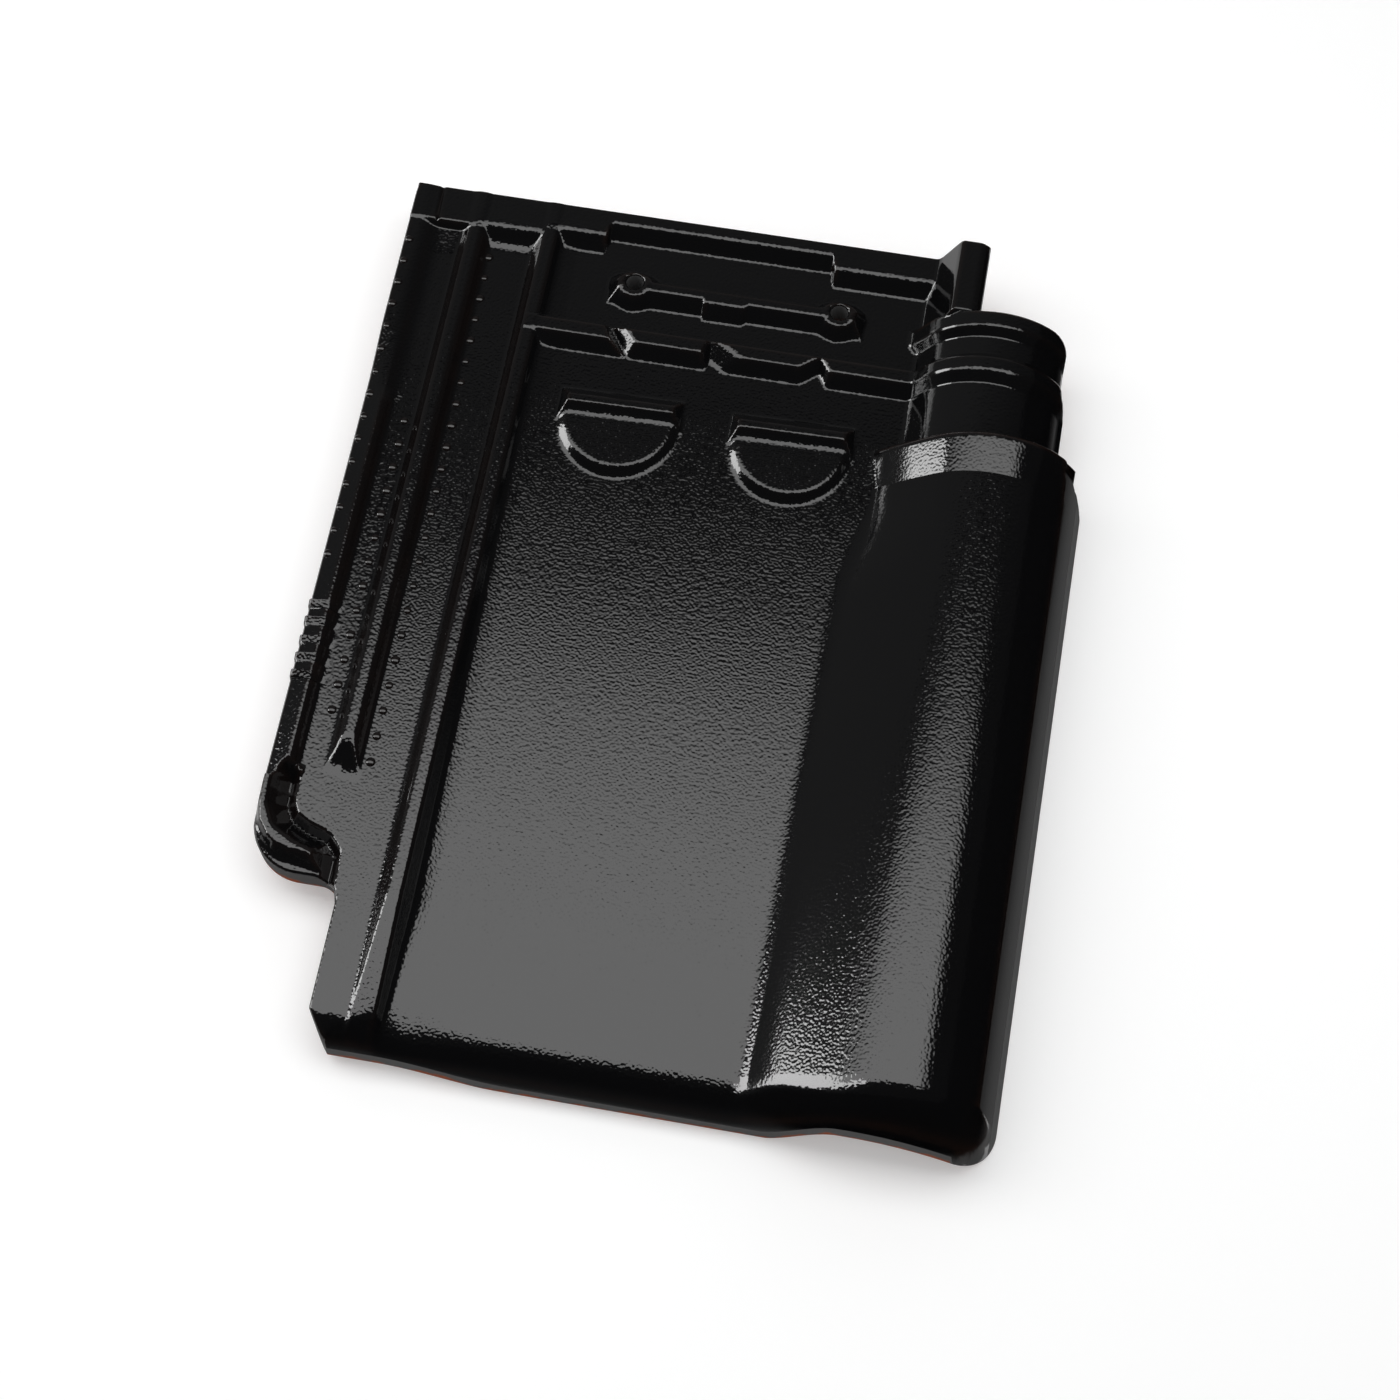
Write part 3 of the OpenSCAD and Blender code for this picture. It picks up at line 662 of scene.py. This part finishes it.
cx, cy = plan.T
sides = ((REACH, 0), (-REACH, 0), (0, REACH), (0, -REACH))
around = sum(upper_height(cx + dx, cy + dy) for dx, dy in sides) / 4
bulge = np.clip((upper_z - around) / 0.9 - 0.15, 0, 1)
tilt_x, tilt_y = slope_of(upper_height, cx, cy)
rib_wall = np.clip(np.abs(tilt_x) - 0.5, 0, 0.6) * rise(62, 56, cx)
none_below = np.zeros(len(under_plan))
thin = np.concatenate([np.clip(bulge * 0.35 + rib_wall * 0.2, 0, 1), none_below])
flat = np.concatenate([rise(0.9, 0.35, np.hypot(tilt_x, tilt_y)), none_below])
cover = np.concatenate([np.ones(len(plan)), np.full(rim_count, RIM_COVER), none_below[rim_count:]])
for name, values in (("thin_glaze", thin), ("flat_face", flat), ("glaze_cover", cover)):
    store(tile_mesh, name, "POINT", values)
quad_x, quad_y = plan[quads].mean(axis=1).T
# Painted sheen: the right side band and all outer walls are made matte and grey, the grey standing
# in for the pale floor they would mirror.
side_band = (quad_x > WIDTH - FOOT_BAND_W + 0.4) & (quad_y < ROLL_END_Y - 4)
dull_painted_sheen_faces = np.concatenate([np.where(side_band, 1.0, 0.0), np.ones(len(walls)),
                       np.zeros(len(under_tris))])
store(tile_mesh, "dull_painted_sheen_edge", "FACE", dull_painted_sheen_faces)
print("thin glaze on", int((thin > 0.5).sum()), "points")

# %% [markdown]
# ## Black glaze on red clay
#
# The glaze is glass, coloured black with iron and manganese: a smooth coat with an
# index near 1.5 and a faint orange-peel from its slow melting. Below it the clay fires
# to a dull brick red. One shader mixes the two by the glaze cover.

# %% Colours and a node helper
def linear(code):
    """Linear colour of an sRGB hex code."""
    parts = [int(code[k:k + 2], 16) / 255 for k in (1, 3, 5)]
    return tuple(p / 12.92 if p <= 0.04045 else ((p + 0.055) / 1.055) ** 2.4
                 for p in parts) + (1.0,)


def add(tree, kind, settings=None, inputs=None):
    """Adds a node, sets its properties, and sets or links its inputs."""
    node = tree.nodes.new(kind)
    for name, value in (settings or {}).items():
        setattr(node, name, value)
    for name, value in (inputs or {}).items():
        if isinstance(value, bpy.types.NodeSocket):
            tree.links.new(value, node.inputs[name])
        else:
            node.inputs[name].default_value = value
    return node


def per_mm(size):
    """Texture scale whose pattern repeats about every size mm."""
    return 1000.0 / size


# The grey of the matte walls is painted sheen, standing in for the pale floor they would mirror.
BLACK_GLAZE, BROWN_GLAZE, PAINTED_SHEEN_GREY = linear("#0a0a0b"), linear("#352218"), linear("#5a5a5a")
DARK_CLAY, PALE_CLAY = linear("#74402c"), linear("#a1614a")
BLOTCH_MM, GRAIN_MM, PEEL_MM = 9, 1.5, 1.05
PEEL_DEPTH, GRIT_DEPTH = 0.0001, 0.0002
print("black glaze", [round(v, 4) for v in BLACK_GLAZE[:3]])

# %% Glazed clay
glazed_clay = bpy.data.materials.new("black_glazed_clay")
glazed_clay.use_nodes = True
tree = glazed_clay.node_tree
tree.nodes.clear()
place = add(tree, "ShaderNodeTexCoord").outputs["Object"]
covered = add(tree, "ShaderNodeAttribute", {"attribute_name": "glaze_cover"}).outputs["Fac"]
thinned = add(tree, "ShaderNodeAttribute", {"attribute_name": "thin_glaze"}).outputs["Fac"]
dulled_painted_sheen = add(tree, "ShaderNodeAttribute", {"attribute_name": "dull_painted_sheen_edge"}).outputs["Fac"]
blotch = add(tree, "ShaderNodeTexNoise", None,
             {"Vector": place, "Scale": per_mm(BLOTCH_MM), "Detail": 4.0}).outputs["Fac"]
edge_line = add(tree, "ShaderNodeMath", {"operation": "MULTIPLY_ADD"},
                {0: blotch, 1: 0.5, 2: covered})
glaze = add(tree, "ShaderNodeMapRange", None,
            {"Value": edge_line.outputs[0], "From Min": 0.92, "From Max": 1.0}).outputs["Result"]
brown = add(tree, "ShaderNodeMath", {"operation": "MULTIPLY"},
            {0: thinned, 1: blotch}).outputs[0]
glossy_colour = add(tree, "ShaderNodeMix", {"data_type": "RGBA"},
                    {0: brown, 6: BLACK_GLAZE, 7: BROWN_GLAZE}).outputs[2]
# Painted sheen: the matte faces take the grey in place of the black glaze.
glaze_colour = add(tree, "ShaderNodeMix", {"data_type": "RGBA"},
                   {0: dulled_painted_sheen, 6: glossy_colour, 7: PAINTED_SHEEN_GREY}).outputs[2]
grain = add(tree, "ShaderNodeTexNoise", None,
            {"Vector": place, "Scale": per_mm(GRAIN_MM), "Detail": 6.0}).outputs["Fac"]
clay_colour = add(tree, "ShaderNodeMix", {"data_type": "RGBA"},
                  {0: grain, 6: DARK_CLAY, 7: PALE_CLAY}).outputs[2]
colour = add(tree, "ShaderNodeMix", {"data_type": "RGBA"},
             {0: glaze, 6: clay_colour, 7: glaze_colour}).outputs[2]
coat = add(tree, "ShaderNodeMapRange", None,
           {"Value": dulled_painted_sheen, "To Min": 0.08, "To Max": 0.5}).outputs["Result"]
shine = add(tree, "ShaderNodeMix", {"data_type": "FLOAT"},
            {0: glaze, 2: 0.85, 3: coat}).outputs[0]
print("clay and glaze colours mixed")

# %% Orange-peel and the shader
peel = add(tree, "ShaderNodeTexNoise", None,
           {"Vector": place, "Scale": per_mm(PEEL_MM), "Detail": 0.0}).outputs["Fac"]
level = add(tree, "ShaderNodeAttribute", {"attribute_name": "flat_face"}).outputs["Fac"]
peel_share = add(tree, "ShaderNodeMapRange", None,
                 {"Value": level, "To Min": 0.2, "To Max": 1.0}).outputs["Result"]
peel_bump = add(tree, "ShaderNodeBump", None,
                {"Strength": peel_share, "Distance": PEEL_DEPTH, "Height": peel}).outputs[0]
grit_bump = add(tree, "ShaderNodeBump", None,
                {"Strength": 0.5, "Distance": GRIT_DEPTH, "Height": grain}).outputs[0]
normal = add(tree, "ShaderNodeMix", {"data_type": "VECTOR"},
             {0: glaze, 4: grit_bump, 5: peel_bump}).outputs[1]
sheen = add(tree, "ShaderNodeMapRange", None,
            {"Value": dulled_painted_sheen, "To Min": 0.5, "To Max": 0.0}).outputs["Result"]
shader = add(tree, "ShaderNodeBsdfPrincipled", None,
             {"Base Color": colour, "Roughness": shine, "Normal": normal, "IOR": 1.52,
              "Specular IOR Level": sheen})
add(tree, "ShaderNodeOutputMaterial", None, {"Surface": shader.outputs[0]})
tile_mesh.materials.append(glazed_clay)
print("material:", glazed_clay.name)

# %% [markdown]
# ## Rows of dots
#
# The press mould has small vents in the channels and along the rim, and each leaves a
# pip on the clay. They repeat, so Geometry Nodes set one low dome on every point of a
# small guide mesh, each a little larger or smaller than the next.

# %% Guide points of the dots
def dot_row(x0, y0, x1, y1, pitch):
    """Evenly spaced points from one end of a row to the other."""
    count = int(round(np.hypot(x1 - x0, y1 - y0) / pitch)) + 1
    return np.stack([np.linspace(x0, x1, count), np.linspace(y0, y1, count)], axis=1)


DOT_PITCH, DOT_R, DOT_H = 10.2, 0.0018, 0.0009
dots_plan = np.concatenate([
    dot_row(34.9, 332.0, 37.0, 224.0, DOT_PITCH),
    dot_row(37.0, 214.0, 37.2, 108.7, DOT_PITCH),
    dot_row(17.9, 252.0, 18.3, 126.6, DOT_PITCH),
    dot_row(2.4, 332.0, 2.4, 189.0, DOT_PITCH)])
dots_z = upper_height(dots_plan[:, 0], dots_plan[:, 1])
dots_at = to_metres(np.column_stack([dots_plan, dots_z]))
dot_guide = bpy.data.meshes.new("dot_guide")
dot_guide.from_pydata(dots_at.tolist(), [], [])
print("dots:", len(dots_plan))

# %% Dome on every guide point
dot_tree = bpy.data.node_groups.new("mould_dots", "GeometryNodeTree")
for name, kind in (("Guide", "NodeSocketGeometry"), ("Dot radius", "NodeSocketFloat"),
                   ("Dot height", "NodeSocketFloat"), ("Seed", "NodeSocketInt"),
                   ("Glaze", "NodeSocketMaterial")):
    dot_tree.interface.new_socket(name, in_out="INPUT", socket_type=kind)
dot_tree.interface.new_socket("Dots", in_out="OUTPUT", socket_type="NodeSocketGeometry")
given = add(dot_tree, "NodeGroupInput").outputs
ball = add(dot_tree, "GeometryNodeMeshUVSphere", None,
           {"Segments": 12, "Rings": 8, "Radius": 1.0})
shape = add(dot_tree, "ShaderNodeCombineXYZ", None,
            {"X": given["Dot radius"], "Y": given["Dot radius"], "Z": given["Dot height"]})
dome = add(dot_tree, "GeometryNodeTransform", None,
           {"Geometry": ball.outputs["Mesh"], "Scale": shape.outputs[0]})
vary = add(dot_tree, "FunctionNodeRandomValue", {"data_type": "FLOAT"},
           {2: 0.8, 3: 1.15, "Seed": given["Seed"]})
placed = add(dot_tree, "GeometryNodeInstanceOnPoints", None,
             {"Points": given["Guide"], "Instance": dome.outputs[0], "Scale": vary.outputs[1]})
real = add(dot_tree, "GeometryNodeRealizeInstances", None, {"Geometry": placed.outputs[0]})
smooth = add(dot_tree, "GeometryNodeSetShadeSmooth", None, {"Geometry": real.outputs[0]})
coated = add(dot_tree, "GeometryNodeSetMaterial", None,
             {"Geometry": smooth.outputs[0], "Material": given["Glaze"]})
add(dot_tree, "NodeGroupOutput", None, {"Dots": coated.outputs[0]})
print("dot nodes:", len(dot_tree.nodes))

# %% Dots as a plain mesh
dot_maker = show("dot_maker", dot_guide)
dot_nodes = dot_maker.modifiers.new("mould_dots", "NODES")
dot_nodes.node_group = dot_tree
dot_values = {"Dot radius": DOT_R, "Dot height": DOT_H, "Seed": 4, "Glaze": glazed_clay}
for socket in dot_tree.interface.items_tree:
    if socket.in_out == "INPUT" and socket.name in dot_values:
        dot_nodes[socket.identifier] = dot_values[socket.name]
ready = dot_maker.evaluated_get(bpy.context.evaluated_depsgraph_get())
dots_mesh = bpy.data.meshes.new_from_object(ready)
bpy.data.objects.remove(dot_maker)
for name, value in (("thin_glaze", 0.15), ("glaze_cover", 1.0), ("dull_painted_sheen_edge", 0.0),
                    ("flat_face", 0.0)):
    store(dots_mesh, name, "POINT", np.full(len(dots_mesh.vertices), value))
dots = show("mould_dots", dots_mesh)
print("dots mesh:", len(dots_mesh.polygons), "faces")

# %% [markdown]
# ## Onto the frame
#
# Both pieces are the same lump of clay, so they ride on the one body. The shell stands
# for the plain CAD solid, which stays hidden behind it for the physics.

# %% Ride and replace
for piece in (tile, dots):
    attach(piece, "root")
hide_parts("roof_tile")
print("pieces on root:", tile.name, dots.name)

# %% [markdown]
# ## Floor and studio light
#
# Black glaze is a mirror, so the light has to be shaped, not just bright. A long soft
# box hangs over the tile and fades at its far edge, which gives the pan its grey sheen
# that dies away towards the head. A bright panel far off on the left shows only in
# reflections and draws the white streaks on the ribs. The room in front stays dark for the
# black nose, and low dark flags close to the nose and the right side, which also show only
# in reflections, keep the pale floor out of them.

# %% Floor
FLOOR_HALF, FLOOR_DROP, FLOOR_LIFT = 4.0, 0.0004, 0.23
floor_mesh = bpy.data.meshes.new("floor")
floor_mesh.from_pydata([(-FLOOR_HALF, -FLOOR_HALF, 0), (FLOOR_HALF, -FLOOR_HALF, 0),
                        (FLOOR_HALF, FLOOR_HALF, 0), (-FLOOR_HALF, FLOOR_HALF, 0)],
                       [], [(0, 1, 2, 3)])
floor = show("floor", floor_mesh)
floor.location.z = -FLOOR_DROP
pale = bpy.data.materials.new("white_paper")
pale.use_nodes = True
pale.node_tree.nodes.clear()
seen = add(pale.node_tree, "ShaderNodeLightPath").outputs["Is Camera Ray"]
paper = add(pale.node_tree, "ShaderNodeBsdfDiffuse", None, {"Color": linear("#f2f2f2")})
glow = add(pale.node_tree, "ShaderNodeEmission", None,
           {"Color": (1, 1, 1, 1), "Strength": FLOOR_LIFT})
lifted = add(pale.node_tree, "ShaderNodeAddShader", None,
             {0: paper.outputs[0], 1: glow.outputs[0]})
mixed = add(pale.node_tree, "ShaderNodeMixShader", None,
            {0: seen, 1: paper.outputs[0], 2: lifted.outputs[0]})
add(pale.node_tree, "ShaderNodeOutputMaterial", None, {"Surface": mixed.outputs[0]})
floor_mesh.materials.append(pale)
print("floor:", 2 * FLOOR_HALF, "m")

# %% Light panels
def light_panel(name, corners, strength, fades=()):
    """A glowing rectangle that the camera doesn't see; each fade is (axis, full, dark)."""
    mesh = bpy.data.meshes.new(name)
    mesh.from_pydata(corners, [], [(0, 1, 2, 3)])
    panel = show(name, mesh)
    cloth = bpy.data.materials.new(name + "_cloth")
    cloth.use_nodes = True
    nodes = cloth.node_tree
    nodes.nodes.clear()
    light = add(nodes, "ShaderNodeEmission", None, {"Strength": strength})
    where = add(nodes, "ShaderNodeTexCoord").outputs["Object"]
    axes = add(nodes, "ShaderNodeSeparateXYZ", None, {"Vector": where}).outputs
    level = strength
    for axis, full, dark in fades:
        share = add(nodes, "ShaderNodeMapRange", {"interpolation_type": "SMOOTHSTEP"},
                    {"Value": axes[axis], "From Min": full, "From Max": dark,
                     "To Min": 1.0, "To Max": 0.0}).outputs["Result"]
        level = add(nodes, "ShaderNodeMath", {"operation": "MULTIPLY"},
                    {0: share, 1: level}).outputs[0]
        nodes.links.new(level, light.inputs["Strength"])
    add(nodes, "ShaderNodeOutputMaterial", None, {"Surface": light.outputs[0]})
    mesh.materials.append(cloth)
    panel.visible_camera = False
    return panel


SOFT_BOX = [(-1.45, -0.17, 1.0), (-1.45, 0.56, 1.0), (0.78, 0.56, 1.0), (0.78, -0.17, 1.0)]
SOFT_BOX_LIGHT, KEY_LIGHT, FLAG_LIGHT, FLAG_TOP = 2.95, 10.5, 0.13, 0.06
light_panel("soft_box", SOFT_BOX, SOFT_BOX_LIGHT, (("Y", 0.23, 0.51), ("X", 0.5, 0.76)))
KEY_PANEL = [(-12.0, -2.4, 2.5), (-12.0, 3.3, 2.5), (-12.0, 3.3, 16.0), (-12.0, -2.4, 16.0)]
key = light_panel("key_panel", KEY_PANEL, KEY_LIGHT)
FLAG_PATH = ((-0.1, -0.1814), (0.1345, -0.1814), (0.144, -0.1719), (0.144, 0.8))
flags = [light_panel("dark_flag", [(ax, ay, 0.0), (bx, by, 0.0),
                                   (bx, by, FLAG_TOP), (ax, ay, FLAG_TOP)],
                     FLAG_LIGHT, (("Z", 0.003, 0.022),))
         for (ax, ay), (bx, by) in zip(FLAG_PATH, FLAG_PATH[1:])]
for panel in [key] + flags:
    panel.visible_diffuse = False
    panel.visible_shadow = False
print("soft box, key panel and", len(flags), "dark flags")

# %% Room
room = bpy.data.worlds.new("dim_room")
bpy.context.scene.world = room
room.use_nodes = True
sky = room.node_tree
sky.nodes.clear()
ray = add(sky, "ShaderNodeLightPath")
heading = add(sky, "ShaderNodeTexCoord").outputs["Generated"]
behind = add(sky, "ShaderNodeVectorMath", {"operation": "DOT_PRODUCT"},
             {0: heading, 1: (-0.5, 0.8, 0.0)})
dim = add(sky, "ShaderNodeMapRange", None,
          {"Value": behind.outputs["Value"], "From Min": 0.0, "From Max": 0.6,
           "To Min": 0.03, "To Max": 0.16}).outputs["Result"]
mirrored = add(sky, "ShaderNodeBackground", None, {"Strength": dim})
fill = add(sky, "ShaderNodeBackground", None, {"Strength": 0.62})
white = add(sky, "ShaderNodeBackground", None, {"Color": (1, 1, 1, 1), "Strength": 1.0})
unseen = add(sky, "ShaderNodeMixShader", None,
             {0: ray.outputs["Is Glossy Ray"], 1: fill.outputs[0], 2: mirrored.outputs[0]})
both = add(sky, "ShaderNodeMixShader", None,
           {0: ray.outputs["Is Camera Ray"], 1: unseen.outputs[0], 2: white.outputs[0]})
add(sky, "ShaderNodeOutputWorld", None, {"Surface": both.outputs[0]})
print("room ready")

# %% [markdown]
# ## Camera
#
# The camera stands where the straight edges of the tile and its nail holes fall in the
# right places: high in front, turned a little to the left, with a moderate tele lens.

# %% Camera and finish
CAMERA_AT, CAMERA_TURN = (0.08406, -0.40372, 0.91576), (23.346, 0.391, 10.114)
LENS_MM, SENSOR_MM = 66.67, 36.0
camera_data = bpy.data.cameras.new("camera")
camera_data.lens = LENS_MM
camera_data.sensor_width = SENSOR_MM
camera = show("camera", camera_data)
camera.location = CAMERA_AT
camera.rotation_euler = [np.radians(angle) for angle in CAMERA_TURN]
bpy.context.scene.camera = camera
bpy.context.scene.view_settings.view_transform = "Standard"
bpy.context.view_layer.update()
